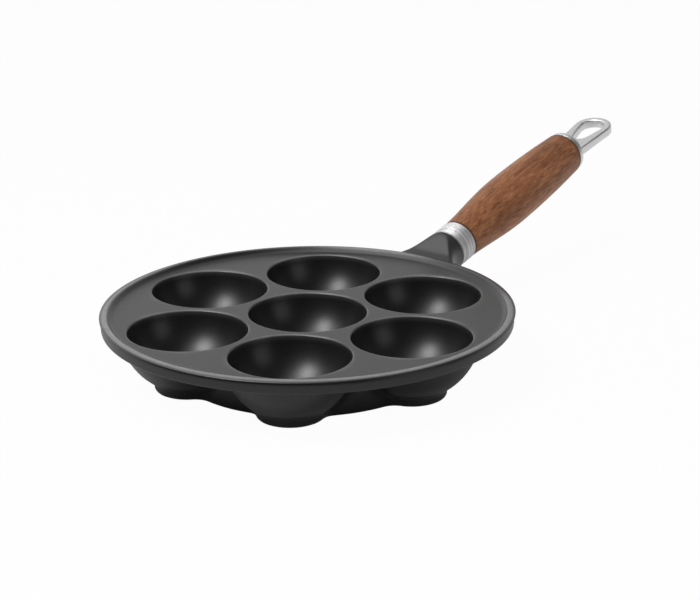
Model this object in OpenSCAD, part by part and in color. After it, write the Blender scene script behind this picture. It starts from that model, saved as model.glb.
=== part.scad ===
// Pan for round pancakes: a cast-iron plate of cups with a wooden handle on a through rod.
// Millimetres. The origin is the centre of the pan on the surface it stands on.
// The handle runs out along +X and rises as it goes. +Z is up.

/* [Cups] */
// Diameter of a cup's mouth where it meets the face
cup_d = 68; // [50:1:80]
// Depth of a cup below the face
cup_depth = 30.6; // [24:0.1:32]
// Thickness of the iron round a cup
cup_wall = 4.5; // [3.5:0.1:5.5]
// Least width of the flat between two neighbouring cups
cup_web = 4.8; // [3:0.1:12]
// Number of cups in the circle round the middle one
outer_cups = 6; // [4:1:6]
// Radius that the mouth's edge is rounded to
lip_round = 0.8; // [0.5:0.1:1.6]
// Diameter of the flat foot under a cup
foot_d = 39.4; // [30:0.2:44]

/* [Plate] */
// Width of the flat from an outer cup's mouth to the plate's edge
rim_land = 12; // [10:0.1:30]
// Thickness of the plate
plate_t = 5; // [4:0.1:7]
// Radius of the bead's broad outer shoulder, from its crest out to the plate's edge
shoulder_r = 3.6; // [3:0.1:4.4]
// Radius of the bead's inner side, from its crest towards the cups
crest_r = 1.6; // [1.2:0.1:2]
// How far the bead's crest stands above the face
bead_rise = 2.6; // [1.8:0.1:3]
// Width of the groove that runs round just below the bead
groove_w = 1.2; // [0.8:0.1:1.6]

/* [Heat ring] */
// Thickness of the ring that stands on the stove below the outer cups
ring_t = 6; // [4:0.1:10]
// Width of the bevel on the ring's foot
ring_bevel = 0.8; // [0.4:0.1:1.4]
// Radius of the fillets between the ring and the plate
under_fillet = 3; // [1.5:0.1:5]

/* [Neck] */
// How far the neck's mouth stands out from the plate's edge
neck_reach = 22.4; // [18:0.2:40]
// Height of the middle of the neck's mouth above the face
neck_lift = -0.3; // [-4:0.1:4]
// How far inside the plate's edge the neck starts to grow
neck_bite = 9; // [8:0.1:12]
// Angle of the sloping flat on top of the neck
crown_slope = 32; // [26:0.5:38]
// Height of that flat above the face where it starts, over the plate's edge
crown_lift = 1.7; // [1.2:0.1:2.4]
// Outside diameter of the neck's mouth and of the ferrule
socket_d = 26; // [22:0.2:32]
// Angle by which the handle rises
handle_rise = 12.8; // [4:0.1:24]

/* [Ferrule] */
// Length of the ferrule
ferrule_len = 13.4; // [10:0.1:24]
// Thickness of the ferrule's solid end, next to the neck
ferrule_web = 4.4; // [2:0.1:6]
// Thickness of the ferrule's wall round the wood's spigot
ferrule_wall = 2.6; // [1.5:0.1:4]
// Number of fine grooves turned into the ferrule
ferrule_grooves = 4; // [0:1:6]
// Distance from one turned groove to the next
groove_pitch = 1.15; // [0.9:0.05:1.4]

/* [Grip] */
// Length of the wood that shows between the ferrule and the end piece
grip_len = 127.3; // [95:0.1:160]
// Diameter of the wood where it meets the ferrule
grip_neck_d = 25.8; // [22:0.1:32]
// Greatest diameter of the wood
grip_belly_d = 33.4; // [28:0.1:38]
// Diameter of the wood at its far end, before the edge is rounded
grip_end_d = 28.2; // [26:0.1:34]
// Where the wood is thickest, as a share of its length from the ferrule
belly_at = 0.46; // [0.3:0.01:0.6]
// Radius that the wood's far edge is rounded to
grip_round = 2; // [1:0.1:3]

/* [Rod] */
// Diameter of the steel rod
rod_d = 6; // [5:0.5:8]
// Length of the rod's thread that is in the iron neck
rod_in_neck = 15; // [10:0.5:18]
// Length of the rod's thread that is in the end piece
rod_in_loop = 11; // [8:0.5:13]

/* [End piece] */
// Diameter of the collar that seats on the wood's end
collar_d = 25.4; // [22:0.1:28]
// Thickness of the collar
collar_t = 2.8; // [2:0.1:5]
// Diameter of the tapped boss that stands in the wood
boss_d = 11; // [10:0.1:13]
// Length of that boss
boss_len = 15; // [14.5:0.5:20]
// Thickness of the flat loop
loop_t = 6; // [4.5:0.1:8]
// Width of the stem next to the collar
stem_w = 20.4; // [16:0.1:21]
// Width of the loop across its eye
eye_w = 25.6; // [22.4:0.1:30]
// Distance from the wood's end to the loop's tip
loop_len = 51; // [44:0.5:70]
// Width of metal left beside the opening at its widest
eye_rim = 4.8; // [3.5:0.1:6]
// Length of the tapered opening
slot_len = 28; // [20:0.5:30]
// Width of the opening's narrow end, nearest the wood
slot_w = 10; // [6:0.1:12]

/* [Clearances] */
// Gap on the radius between the rod and its tapped holes
thread_gap = 0.05; // [0.02:0.01:0.1]
// Gap on the radius between the rod and the holes that it only passes through
rod_gap = 0.4; // [0.2:0.05:0.8]
// Gap on the radius between a spigot or boss and its recess
seat_gap = 0.1; // [0.05:0.01:0.2]
// Room left at the bottom of a blind hole or recess
end_gap = 1; // [0.5:0.1:2]

/* [Hidden] */

iron = "#3b3b3c";
walnut = "#7d503a";
aluminium = "#cfcfd2";
steel = "#9a9ca0";

// Heights over the stove
face_z = cup_depth + cup_wall;
under_z = face_z - plate_t;

// A cup's inside and outside are parts of two spheres round one centre
bowl_r = (pow(cup_d / 2, 2) + pow(cup_depth, 2)) / (2 * cup_depth);
shell_r = bowl_r + cup_wall;
bowl_z = cup_wall + bowl_r;

// The cups stand on a circle on which neighbours keep the web between them
cup_pitch_r = (cup_d + cup_web) / (2 * sin(180 / max(outer_cups, 6)));
cup_turn = 180 / outer_cups;
plate_r = cup_pitch_r + cup_d / 2 + rim_land;
crest_x = plate_r - shoulder_r;
crest_z = face_z + bead_rise;
edge_draft = 0.8;
edge_round = 0.9;
ring_r = cup_pitch_r + 0.3 * ring_t;
foot_round = 3;
bead_fillet = 1.4;
foot_flare = 2.5;

// The mouth of the neck, where the handle's own frame starts
mouth_x = plate_r + neck_reach;
mouth_z = face_z + neck_lift;
socket_r = socket_d / 2;
neck_hole_len = rod_in_neck + end_gap;

// Stations along the handle, from the mouth of the neck
grip_u = ferrule_len;
grip_end_u = grip_u + grip_len;
spigot_r = socket_r - ferrule_wall - seat_gap;
spigot_len = ferrule_len - ferrule_web - end_gap;
eye_u = grip_end_u + loop_len - eye_w / 2;
slot_big_r = eye_w / 2 - eye_rim;

// Length along which a thread or an edge is bevelled
bevel = 0.5;

// A point on the line from a to b
function between(a, b, t) = a + (b - a) * t;

// Power of a number that keeps its sign, for the rounded sections of the neck
function signed_pow(v, p) = sign(v) * pow(abs(v), p);

// The point at which a round centred on [x, z] touches a cup's sphere, as [radius, height]
function touch(sphere_r, x, z) =
  [x, z] * sphere_r / norm([x, z - bowl_z]) + [0, bowl_z * (1 - sphere_r / norm([x, z - bowl_z]))];

// Carries a shape into the handle's frame: +X runs out along the handle from the neck's mouth
module on_handle() {
  translate([mouth_x, 0, mouth_z]) rotate([0, -handle_rise, 0]) children();
}

// Turns a profile, drawn as radius and distance, about the handle's axis
module turned(sides = 96) {
  rotate([0, 90, 0]) rotate_extrude($fn = sides) children();
}

// Each outer cup's place, with the handle midway between two of them
module at_outer_cups() {
  for (i = [0 : outer_cups - 1]) rotate([0, 0, cup_turn + i * 360 / outer_cups])
    translate([cup_pitch_r, 0, 0]) children();
}

module at_all_cups() {
  children();
  at_outer_cups() children();
}

// Space inside a cup: a part of a sphere that opens at the face with a rounded edge
module bowl_space() {
  edge_z = face_z - lip_round;
  edge_x = sqrt(pow(bowl_r + lip_round, 2) - pow(bowl_z - edge_z, 2));
  start = touch(bowl_r, edge_x, edge_z);
  above = 2 * bead_rise;
  rotate_extrude($fn = 128) {
    intersection() {
      translate([0, bowl_z]) circle(bowl_r, $fn = 128);
      square([bowl_r, start[1]]);
    }
    difference() {
      polygon([[0, start[1]], start, [edge_x, edge_z], [edge_x, face_z + above], [0, face_z + above]]);
      translate([edge_x, edge_z]) circle(lip_round, $fn = 32);
    }
  }
}

// Outside of a cup: the sphere below the plate, and a flat foot with a rounded edge,
// with a short flare where the foot stands out of the sphere
module cup_shell() {
  foot_r = foot_d / 2;
  flare_r = foot_r + foot_flare;
  flare_z = bowl_z - sqrt(pow(shell_r + foot_flare, 2) - pow(flare_r, 2));
  flare_end = touch(shell_r, flare_r, flare_z);
  rotate_extrude($fn = 128) {
    intersection() {
      translate([0, bowl_z]) circle(shell_r, $fn = 128);
      translate([0, foot_round]) square([shell_r, under_z + plate_t / 5 - foot_round]);
    }
    polygon([[0, flare_z], [foot_r, flare_z], flare_end, [0, flare_end[1]]]);
    translate([0, foot_round]) square([foot_r, flare_z - foot_round]);
    square([foot_r - foot_round, 2 * foot_round]);
    translate([foot_r - foot_round, foot_round]) circle(foot_round, $fn = 32);
  }
}

// Points along an arc, from one angle to another
function arc(centre, r, from, to, steps) =
  [for (i = [0 : steps]) let(a = between(from, to, i / steps)) centre + r * [cos(a), sin(a)]];

// The plate's section: flat face, a bead that rises in an S from the face and falls in a broad
// shoulder, a small groove under it, and a tapered band down to the rounded lower edge
module plate_section() {
  // The S is two arcs that meet at the angle turn
  s_run = crest_r + bead_fillet;
  turn = acos(1 - bead_rise / s_run);
  fillet = [crest_x - s_run * sin(turn), face_z + bead_fillet];
  shoulder = [crest_x, crest_z - shoulder_r];
  shoulder_end = 14;
  groove_r = groove_w / 2;
  groove_top = shoulder + shoulder_r * [cos(shoulder_end), sin(shoulder_end)];
  groove = groove_top - [0, groove_r];
  low_r = plate_r - edge_draft;
  polygon(concat(
    [[0, under_z], [low_r - edge_round, under_z]],
    arc([low_r - edge_round, under_z + edge_round], edge_round, -90, 0, 4),
    arc(groove, groove_r, 270, 90, 6),
    arc(shoulder, shoulder_r, shoulder_end, 90, 8),
    arc([crest_x, crest_z - crest_r], crest_r, 90 + turn / 6, 90 + turn, 5),
    arc(fillet, bead_fillet, turn - 90 - turn / 5, -90, 4),
    [[0, face_z]]
  ));
}

// The ring that stands on the stove, filleted where it meets the plate
module ring_section() {
  inner = ring_r - ring_t;
  difference() {
    translate([inner - under_fillet, 0]) square([ring_t + 2 * under_fillet, under_z + 1]);
    translate([inner - under_fillet, under_z - under_fillet]) circle(under_fillet, $fn = 32);
    translate([ring_r + under_fillet, under_z - under_fillet]) circle(under_fillet, $fn = 32);
    translate([inner - under_fillet - 1, -1]) square([under_fillet + 1, under_z - under_fillet + 1]);
    translate([ring_r, -1]) square([under_fillet + 1, under_z - under_fillet + 1]);
    translate([ring_r, 0]) rotate([0, 0, 45]) square(ring_bevel * sqrt(2), center = true);
    translate([inner, 0]) rotate([0, 0, 45]) square(ring_bevel * sqrt(2), center = true);
  }
}

// The neck is lofted: k runs from 0, hidden in the plate's edge, to 1, the round mouth.
// Its sections are ovals that narrow, thicken and lean over as they go out. A sloping plane then
// cuts a flat on top, whose two edges draw together towards the mouth.
neck_rings = 15;
neck_sides = 40;
neck_cover = 0.6;
root_x = plate_r - neck_bite;
root_half_w = sqrt(pow(plate_r - edge_draft - neck_cover, 2) - pow(root_x, 2));
root_half_t = plate_t / 2 - neck_cover;
function neck_half_w(k) = between(socket_r, root_half_w, pow(1 - k, 2.5));
function neck_half_t(k) = between(socket_r, root_half_t, pow(1 - k, 1.6));
function neck_squareness(k) = between(2.4, 2, k);
function neck_point(k, a) =
  let(
    p = 2 / neck_squareness(k),
    y = neck_half_w(k) * signed_pow(cos(a), p),
    n = neck_half_t(k) * signed_pow(sin(a), p),
    lean = handle_rise * k
  )
  [
    between(root_x, mouth_x, k) - n * sin(lean),
    y,
    between(face_z - plate_t / 2, mouth_z, k) + n * cos(lean)
  ];

module neck() {
  points = [
    for (i = [0 : neck_rings - 1], j = [0 : neck_sides - 1])
      neck_point(i / (neck_rings - 1), 360 * (j + 0.5) / neck_sides)
  ];
  walls = [
    for (i = [0 : neck_rings - 2], j = [0 : neck_sides - 1])
      let(a = i * neck_sides + j, b = i * neck_sides + (j + 1) % neck_sides)
        each [[a, a + neck_sides, b], [b, a + neck_sides, b + neck_sides]]
  ];
  root_cap = [[for (j = [0 : neck_sides - 1]) j]];
  mouth_cap = [[for (j = [neck_sides - 1 : -1 : 0]) (neck_rings - 1) * neck_sides + j]];
  reach = 4 * socket_d;
  intersection() {
    polyhedron(points, concat(walls, root_cap, mouth_cap), convexity = 6);
    translate([plate_r, 0, face_z + crown_lift]) rotate([0, -crown_slope, 0])
      translate([-reach, -reach / 2, -reach]) cube([2 * reach, reach, reach]);
  }
}

module pan_casting() {
  color(iron) difference() {
    union() {
      rotate_extrude($fn = 180) plate_section();
      rotate_extrude($fn = 180) ring_section();
      at_all_cups() cup_shell();
      neck();
    }
    at_all_cups() bowl_space();
    on_handle() translate([-neck_hole_len, 0, 0]) rotate([0, 90, 0])
      cylinder(r = rod_d / 2 + thread_gap, h = neck_hole_len + 1, $fn = 48);
  }
}

// A turned sleeve: solid at the neck but for the rod's hole, and open where the wood's spigot seats
module ferrule() {
  first_groove = 1.7;
  groove_r = 0.35;
  outer_r = socket_r;
  color(aluminium) on_handle() turned() difference() {
    polygon([
      [rod_d / 2 + rod_gap, 0], [outer_r - bevel, 0], [outer_r, bevel],
      [outer_r, ferrule_len - bevel], [outer_r - bevel, ferrule_len],
      [spigot_r + seat_gap, ferrule_len], [spigot_r + seat_gap, ferrule_web],
      [rod_d / 2 + rod_gap, ferrule_web]
    ]);
    for (i = [0 : 1 : ferrule_grooves - 1])
      translate([outer_r, first_groove + i * groove_pitch]) circle(groove_r, $fn = 16);
  }
}

// Radius of the wood at a distance g from the ferrule: a slow swell, then a slower fall
function grip_r(g) =
  let(belly = belly_at * grip_len, neck_r = grip_neck_d / 2, belly_r = grip_belly_d / 2, end_r = grip_end_d / 2)
  g < belly
    ? neck_r + (belly_r - neck_r) * pow(sin(90 * g / belly), 1.5)
    : belly_r - (belly_r - end_r) * pow((g - belly) / (grip_len - belly), 2);

// The wood, with a spigot in front, a recess behind for the boss, and the rod's hole between
module grip() {
  steps = 28;
  corner_steps = 6;
  round_from = grip_len - grip_round;
  hole_r = rod_d / 2 + rod_gap;
  recess_r = boss_d / 2 + seat_gap;
  recess_g = grip_len - boss_len - end_gap;
  color(walnut) on_handle() translate([grip_u, 0, 0]) turned() polygon(concat(
    [
      [hole_r, -spigot_len], [spigot_r - bevel, -spigot_len],
      [spigot_r, bevel - spigot_len], [spigot_r, 0]
    ],
    [for (i = [0 : steps]) let(g = round_from * i / steps) [grip_r(g), g]],
    [
      for (i = [1 : corner_steps]) let(a = 90 * i / corner_steps)
        [grip_r(round_from) - grip_round * (1 - cos(a)), round_from + grip_round * sin(a)]
    ],
    [[recess_r, grip_len], [recess_r, recess_g], [hole_r, recess_g]]
  ));
}

// The rod, bevelled at both ends
module tie_rod() {
  r = rod_d / 2;
  start = -rod_in_neck;
  end = grip_end_u - boss_len + rod_in_loop;
  color(steel) on_handle() turned(48) polygon([
    [0, start], [r - bevel, start], [r, start + bevel],
    [r, end - bevel], [r - bevel, end], [0, end]
  ]);
}

// The flat part's outline: straight sides that leave the collar and meet the round eye smoothly
module loop_outline() {
  eye_r = eye_w / 2;
  root_u = grip_end_u + collar_t / 2;
  corner = [root_u - eye_u, stem_w / 2];
  turn = atan2(corner[1], corner[0]) - acos(eye_r / norm(corner));
  meet = [eye_r * cos(turn), eye_r * sin(turn)];
  translate([eye_u, 0]) {
    circle(eye_r, $fn = 96);
    polygon([corner, meet, [meet[0], -meet[1]], [corner[0], -corner[1]]]);
  }
}

// The opening: a round eye that tapers to a narrow round end towards the wood.
// Its straight sides run a hair inside the two rounds' common tangent and so cross them cleanly.
module slot_outline() {
  hair = 0.05;
  small_r = slot_w / 2;
  small_u = eye_u + slot_big_r - slot_len + small_r;
  lean = asin((slot_big_r - small_r) / (eye_u - small_u));
  wide = [eye_u, 0] + (slot_big_r - hair) * [-sin(lean), cos(lean)];
  narrow = [small_u, 0] + (small_r - hair) * [-sin(lean), cos(lean)];
  translate([eye_u, 0]) circle(slot_big_r, $fn = 64);
  translate([small_u, 0]) circle(small_r, $fn = 48);
  polygon([wide, narrow, [narrow[0], -narrow[1]], [wide[0], -wide[1]]]);
}

// The end piece: collar and tapped boss on the rod's axis, and the flat loop that grows out of them
module hanging_loop() {
  collar_r = collar_d / 2;
  cone_u = grip_end_u + collar_t;
  cone_len = 4;
  hole_len = boss_len + collar_t - end_gap;
  color(aluminium) on_handle() difference() {
    union() {
      turned() polygon([
        [0, grip_end_u - boss_len], [boss_d / 2 - bevel, grip_end_u - boss_len],
        [boss_d / 2, grip_end_u - boss_len + bevel], [boss_d / 2, grip_end_u],
        [collar_r - bevel, grip_end_u], [collar_r, grip_end_u + bevel],
        [collar_r, cone_u - bevel], [collar_r - bevel, cone_u],
        [loop_t / 2 - bevel, cone_u + cone_len], [0, cone_u + cone_len]
      ]);
      linear_extrude(loop_t, center = true) loop_outline();
    }
    linear_extrude(2 * loop_t, center = true) slot_outline();
    translate([grip_end_u - boss_len - 1, 0, 0]) rotate([0, 90, 0])
      cylinder(r = rod_d / 2 + thread_gap, h = hole_len + 1, $fn = 48);
  }
}

pan_casting();
ferrule();
grip();
tie_rod();
hanging_loop();
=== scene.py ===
# %% [markdown]
# # A cast-iron pan for round pancakes, with a turned wooden handle
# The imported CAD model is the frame: every piece here is worked out in metres in that frame.
# This first cell loads it and keeps its box, which the finished look has to stay inside.

import bmesh
import bpy
import numpy as np
from mathutils import Matrix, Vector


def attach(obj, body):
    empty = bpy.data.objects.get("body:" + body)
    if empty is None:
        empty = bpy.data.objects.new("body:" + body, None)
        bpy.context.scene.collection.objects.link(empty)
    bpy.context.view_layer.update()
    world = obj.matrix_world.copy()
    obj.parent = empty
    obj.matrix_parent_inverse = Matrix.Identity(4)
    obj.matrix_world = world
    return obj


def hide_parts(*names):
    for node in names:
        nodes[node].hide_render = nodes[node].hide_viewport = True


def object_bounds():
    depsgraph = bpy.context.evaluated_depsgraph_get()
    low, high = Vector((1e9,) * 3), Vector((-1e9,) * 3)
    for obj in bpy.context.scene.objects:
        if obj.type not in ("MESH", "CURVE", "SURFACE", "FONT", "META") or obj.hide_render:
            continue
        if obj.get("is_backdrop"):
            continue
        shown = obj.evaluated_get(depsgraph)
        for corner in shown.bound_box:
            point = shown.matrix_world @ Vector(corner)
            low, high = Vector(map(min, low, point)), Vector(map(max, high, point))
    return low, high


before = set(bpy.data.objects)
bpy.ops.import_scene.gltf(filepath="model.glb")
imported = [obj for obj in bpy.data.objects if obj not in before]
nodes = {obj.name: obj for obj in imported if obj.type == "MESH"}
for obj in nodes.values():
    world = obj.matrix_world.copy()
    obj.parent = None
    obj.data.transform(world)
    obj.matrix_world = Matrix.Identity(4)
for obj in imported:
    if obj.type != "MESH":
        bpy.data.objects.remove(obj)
cad_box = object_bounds()
scene = bpy.context.scene
scene.view_settings.view_transform = "Standard"
MM = 0.001
print("nodes", sorted(nodes))

# %% [markdown]
# ## Sizes
# The named sizes of the CAD source, in millimetres, with softer edges where the solids draw them
# plainly: the rim's section, the lips, the collar. Every surface below is a formula of these, so a
# piece always lands on what carries it.

# %% Named sizes of the pan
cup_d, cup_depth, cup_wall, cup_web, lip_round = 68.0, 30.6, 4.5, 4.8, 1.1
foot_d, foot_round = 39.4, 3.0
plate_t, rim_land, edge_draft, edge_round = 5.0, 12.0, 0.8, 0.9
shoulder_r, crest_r, bead_rise, groove_w, groove_deep = 3.6, 1.15, 2.6, 1.2, 1.2
shoulder_drop, ramp_reach, ramp_turn = 1.0, 3.6, 48.0
ring_t, ring_bevel, joint_reach = 6.0, 0.8, 7.0
face_z = cup_depth + cup_wall
under_z = face_z - plate_t
bowl_r = ((cup_d / 2) ** 2 + cup_depth**2) / (2 * cup_depth)
shell_r = bowl_r + cup_wall
bowl_z = cup_wall + bowl_r
cup_pitch_r = cup_d + cup_web
plate_r = cup_pitch_r + cup_d / 2 + rim_land
ring_r = cup_pitch_r + 0.3 * ring_t
print("plate radius", round(plate_r, 2), "cup radius", round(bowl_r, 3))

# %% [markdown]
# The handle's sizes are given along its own axis. A length with _u in its name is a distance along
# that axis from the neck's mouth, so the ferrule, the wood and the end piece follow one another by
# plain sums, and a change of one moves everything behind it.

# %% Named sizes of the handle
neck_reach, neck_lift, neck_bite, neck_cover = 22.4, -0.3, 9.0, 0.6
crown_low, crown_slope, handle_rise = np.radians(13), np.radians(36), np.radians(12.8)
crown_lift, crown_turn = 2.2, 4.6
socket_r, ferrule_len, ferrule_web, ferrule_wall = 13.0, 13.4, 4.4, 2.6
ferrule_grooves, groove_pitch = 4, 1.15
grip_len, grip_neck_d, grip_belly_d, grip_end_d = 127.3, 25.8, 33.4, 28.2
belly_at, grip_round = 0.46, 1.2
rod_d, rod_in_neck, collar_d, collar_t = 6.0, 15.0, 27.4, 3.4
boss_d, boss_len, loop_t, stem_w, eye_w, loop_len = 11.0, 15.0, 6.0, 20.4, 25.6, 51.0
eye_rim, slot_len, slot_w = 4.8, 28.0, 10.0
thread_gap, rod_gap, seat_gap, end_gap = 0.05, 0.4, 0.1, 1.0
neck_hole_len = rod_in_neck + end_gap
grip_u = ferrule_len
grip_end_u = grip_u + grip_len
spigot_r = socket_r - ferrule_wall - seat_gap
spigot_len = ferrule_len - ferrule_web - end_gap
eye_u = grip_end_u + loop_len - eye_w / 2
slot_big_r = eye_w / 2 - eye_rim
small_u = eye_u + slot_big_r - slot_len + slot_w / 2
collar_seat = grip_end_u + collar_t / 2

# %% [markdown]
# The handle rises slightly away from the pan. Three unit directions carry everything on it: along
# the axis, across it, and square to both. With them each piece is written as if the handle lay
# straight, which is far easier to check than turned coordinates.

# %% The handle's own directions
mouth = np.array([plate_r + neck_reach, 0.0, face_z + neck_lift])
mouth_x, mouth_z = mouth[0], mouth[2]
along = np.array([np.cos(handle_rise), 0.0, np.sin(handle_rise)])
across = np.array([0.0, 1.0, 0.0])
upward = np.array([-np.sin(handle_rise), 0.0, np.cos(handle_rise)])
print("the handle starts at", np.round(mouth, 2))


def on_handle(u, v, w):
    """Points u along, v across and w square to the handle: mouth + u a + v b + w c."""
    u, v, w = (part[..., None] for part in np.broadcast_arrays(u, v, w))
    return mouth + u * along + v * across + w * upward

# %% [markdown]
# ## The camera
# The pan is seen from the side, a little from above, through a long lens, so that circles turn into
# flat ovals with little perspective. The view is given as a bearing, a height and a small roll.

# %% Camera at the photograph's view
def placed(side, top, out, place):
    """A world matrix whose columns are the object's own right, up and backward directions."""
    return Matrix(np.vstack([np.column_stack([side, top, out, place]), [0, 0, 0, 1]]).tolist())


view_bearing, view_height, view_roll = np.radians([-53.244, 18.914, -0.732])
aim_right, aim_up, aim_back = 24.272, 6.754, 1286.423
focal_px, frame_px = 2247.81, 700
back = np.array([
    np.sin(view_bearing) * np.cos(view_height),
    -np.cos(view_bearing) * np.cos(view_height),
    np.sin(view_height),
])
level = np.array([np.cos(view_bearing), np.sin(view_bearing), 0.0])
rise = np.cross(back, level)
right = np.cos(view_roll) * level + np.sin(view_roll) * rise
up = -np.sin(view_roll) * level + np.cos(view_roll) * rise
spot = (aim_right * right + aim_up * up + aim_back * back + [0, 0, face_z]) * MM

lens = bpy.data.cameras.new("camera")
lens.sensor_width = 36.0
lens.lens = focal_px / frame_px * lens.sensor_width
lens.clip_end = 20.0
camera = bpy.data.objects.new("camera", lens)
scene.collection.objects.link(camera)
camera.matrix_world = placed(right, up, back, spot)
scene.camera = camera
print("camera at", np.round(spot, 4))

# %% [markdown]
# ## Light and floor
# The pan stands in a white product booth. Nearly black iron shows hardly any light of its own, so
# what is seen is mostly what it mirrors, and the room has to be right in every direction. A broad
# lamp high on the left gives each cup its one soft gleam, and a large weak one in front lifts the
# band and the bulges. The helpers below keep the node trees short: the first adds a node with its
# settings and links, and each of the others returns the socket of one common step.

# %% Small helpers for node trees
SMOOTH = "SMOOTHSTEP"


def node(tree, kind, **values):
    """Adds a node. A value named in_N goes to input N, a number or a name with _ for its spaces,
    as a link if it is a socket itself. Any other value is an attribute of the node."""
    made = tree.nodes.new(kind)
    for name, value in values.items():
        if not name.startswith("in_"):
            setattr(made, name, value)
            continue
        key = name[3:]
        sink = made.inputs[int(key) if key.isdigit() else key.replace("_", " ")]
        if isinstance(value, bpy.types.NodeSocket):
            tree.links.new(value, sink)
        else:
            sink.default_value = value
    return made


def facing(tree, vector, direction):
    """How far a vector points along a fixed direction: their dot product."""
    return node(tree, "ShaderNodeVectorMath", operation="DOT_PRODUCT",
                in_0=vector, in_1=tuple(map(float, direction))).outputs["Value"]


def spread(tree, value, start, end, low, high, kind="LINEAR"):
    """Runs from low to high while the value runs from start to end, and stays there outside."""
    return node(tree, "ShaderNodeMapRange", interpolation_type=kind,
                in_0=value, in_1=start, in_2=end, in_3=low, in_4=high).outputs[0]


def combined(tree, operation, first, second):
    """Two numbers put through one operation: a sum, a product or the larger of both."""
    return node(tree, "ShaderNodeMath", operation=operation, in_0=first, in_1=second).outputs[0]


def blend(tree, share, first, second):
    """Mixes two colours: the first where share is 0, the second where it is 1."""
    return node(tree, "ShaderNodeMix", data_type="RGBA",
                in_0=share, in_6=first, in_7=second).outputs[2]


def own_place(tree):
    """A point's place in the piece's own coordinates."""
    return node(tree, "ShaderNodeTexCoord").outputs["Object"]


def emptied(owner):
    """The node tree of a world or a material, without the nodes it starts with."""
    owner.use_nodes = True
    owner.node_tree.nodes.clear()
    return owner.node_tree


# %% [markdown]
# Both lamps are square panels that face the pan. A bearing counts from the side opposite +Y and
# grows towards the handle.

# %% Lamps
def softbox(name, bearing, height, distance, size, power):
    """A square area lamp on a bearing and height about the pan, in degrees, facing the pan."""
    b, h = np.radians([bearing, height])
    away = np.array([np.sin(b) * np.cos(h), -np.cos(b) * np.cos(h), np.sin(h)])
    side = np.array([np.cos(b), np.sin(b), 0.0])
    data = bpy.data.lights.new(name, "AREA")
    data.shape, data.size, data.energy = "SQUARE", size, power
    lamp = bpy.data.objects.new(name, data)
    scene.collection.objects.link(lamp)
    aim = np.array([0.0, 0.0, 0.03])
    lamp.matrix_world = placed(side, np.cross(away, side), away, aim + distance * away)


softbox("key", bearing=-106, height=54, distance=1.3, size=0.48, power=9.5)
softbox("fill", bearing=5, height=20, distance=2.0, size=1.0, power=3.2)

# %% [markdown]
# The room itself is the world. The camera sees it as plain white, and diffuse light from it is
# dim. Mirrored rays see four things, each a smooth step over a direction: the bright backdrop on
# the far side, which gives the flat face its even grey; a stronger glow low on it, for the far
# slope of the rim; more of it on the left than on the right, as the face is lighter there; and a
# panel overhead, a little to the left, that draws the line along the bead and the cups' far lips.
# The side behind the camera stays dark, which is what keeps the cups' near walls black. Real
# panels would give the same, but they would also light the floor and spoil its white.

# %% The room
to_far = (-back[0], -back[1], 0.0)
to_left = (-level[0], -level[1], 0.0)
to_panel = (-0.38 * level[0], -0.38 * level[1], 0.925)
diffuse_light = 0.29

world = bpy.data.worlds.new("room")
scene.world = world
tree = emptied(world)
path = node(tree, "ShaderNodeLightPath").outputs
ray = node(tree, "ShaderNodeTexCoord").outputs["Generated"]
backdrop = spread(tree, facing(tree, ray, to_far), -0.1, 0.55, 0.05, 0.69, SMOOTH)
low_glow = spread(tree, facing(tree, ray, (0, 0, 1)), 0.06, 0.36, 1.6, 1.0, SMOOTH)
left_glow = spread(tree, facing(tree, ray, to_left), -0.35, 0.45, 0.75, 1.35)
overhead = spread(tree, facing(tree, ray, to_panel), 0.80, 0.97, 0.0, 2.8, SMOOTH)
glows = combined(tree, "MULTIPLY", low_glow, left_glow)
mirrored = combined(tree, "ADD", combined(tree, "MULTIPLY", backdrop, glows), overhead)
unseen = node(tree, "ShaderNodeMix", data_type="FLOAT",
              in_0=path["Is Glossy Ray"], in_2=diffuse_light, in_3=mirrored)
strength = node(tree, "ShaderNodeMix", data_type="FLOAT",
                in_0=path["Is Camera Ray"], in_2=unseen.outputs[0], in_3=1.0)
light = node(tree, "ShaderNodeBackground", in_0=(1, 1, 1, 1), in_Strength=strength.outputs[0])
node(tree, "ShaderNodeOutputWorld", in_0=light.outputs[0])

# %% [markdown]
# The floor is a sheet of white paper that runs on without an edge. To the camera it is almost
# plain white with only a trace of shading. In mirrored rays it is bright beyond the pan and dim
# in front of it, and dark close under the pan, where in the real booth the pan's own shade lies.
# It lies a tenth of a millimetre below the feet, so that no two surfaces fall together.

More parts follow.
